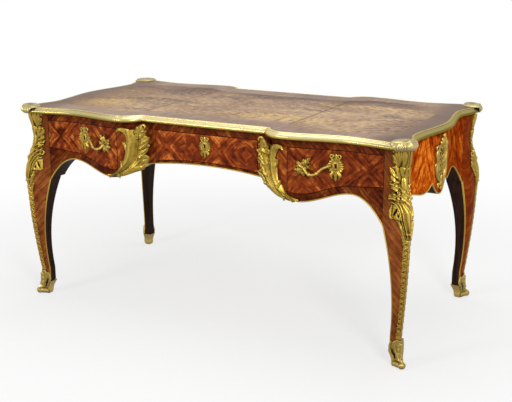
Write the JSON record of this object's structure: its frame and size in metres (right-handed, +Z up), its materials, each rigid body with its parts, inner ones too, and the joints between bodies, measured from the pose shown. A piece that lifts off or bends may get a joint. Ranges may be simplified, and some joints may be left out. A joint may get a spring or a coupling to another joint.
{
  "type": "writing desk",
  "caption": "Serpentine writing desk on cabriole legs with a leather-lined top, locking frieze drawers that slide out, and gilt-bronze mounts.",
  "frame": {"origin": "on the floor under the middle of the desk", "axes": "+X along the length to the sitter's right, +Y to the back, +Z up; the drawers face -Y"},
  "size_m": [1.598, 0.8672, 0.785],
  "materials": {
    "veneer": "polished veneer",
    "oak": "plain",
    "leather": "worn",
    "bronze": "gilt",
    "steel": "dark"
  },
  "bodies": {
    "carcass": {"leg_front_left": "veneer", "leg_front_right": "veneer", "leg_back_left": "veneer", "leg_back_right": "veneer", "front_top_rail": "veneer", "front_apron_left": "veneer", "front_apron_right": "veneer", "front_centre_rail": "veneer", "left_partition": "oak", "right_partition": "oak", "back_panel": "veneer", "left_end_panel": "veneer", "right_end_panel": "veneer", "left_runner": "oak", "right_runner": "oak", "top_panel": "veneer", "leather_inset": "leather", "top_edge_moulding": "bronze", "corner_clasp_front_left": "bronze", "corner_clasp_front_right": "bronze", "corner_clasp_back_left": "bronze", "corner_clasp_back_right": "bronze", "corner_mount_front_left": "bronze", "corner_mount_front_right": "bronze", "corner_mount_back_left": "bronze", "corner_mount_back_right": "bronze", "sabot_front_left": "bronze", "sabot_front_right": "bronze", "sabot_back_left": "bronze", "sabot_back_right": "bronze", "acanthus_front_left": "bronze", "acanthus_front_right": "bronze", "acanthus_back_left": "bronze", "acanthus_back_right": "bronze", "left_end_cartouche": "bronze", "right_end_cartouche": "bronze"},
    "left_drawer": {"left_drawer_front": "veneer", "left_drawer_left_side": "oak", "left_drawer_right_side": "oak", "left_drawer_back": "oak", "left_drawer_bottom": "oak", "left_lock_case": "steel", "left_handle": "bronze"},
    "centre_drawer": {"centre_drawer_front": "veneer", "centre_drawer_left_side": "oak", "centre_drawer_right_side": "oak", "centre_drawer_back": "oak", "centre_drawer_bottom": "oak", "centre_lock_case": "steel", "centre_escutcheon": "bronze"},
    "right_drawer": {"right_drawer_front": "veneer", "right_drawer_left_side": "oak", "right_drawer_right_side": "oak", "right_drawer_back": "oak", "right_drawer_bottom": "oak", "right_lock_case": "steel", "right_handle": "bronze"},
    "left_bolt": {"left_lock_bolt": "steel"},
    "centre_bolt": {"centre_lock_bolt": "steel"},
    "right_bolt": {"right_lock_bolt": "steel"}
  },
  "joints": [
    {"name": "left_drawer_slide", "type": "slide", "parent": "carcass", "child": "left_drawer", "axis": [0, -1, 0], "range_m": [0, 0.38]},
    {"name": "centre_drawer_slide", "type": "slide", "parent": "carcass", "child": "centre_drawer", "axis": [0, -1, 0], "range_m": [0, 0.38]},
    {"name": "right_drawer_slide", "type": "slide", "parent": "carcass", "child": "right_drawer", "axis": [0, -1, 0], "range_m": [0, 0.38]},
    {"name": "left_bolt_slide", "type": "slide", "parent": "left_drawer", "child": "left_bolt", "axis": [0, 0, 1], "range_m": [0, 0.008]},
    {"name": "centre_bolt_slide", "type": "slide", "parent": "centre_drawer", "child": "centre_bolt", "axis": [0, 0, 1], "range_m": [0, 0.008]},
    {"name": "right_bolt_slide", "type": "slide", "parent": "right_drawer", "child": "right_bolt", "axis": [0, 0, 1], "range_m": [0, 0.008]}
  ]
}
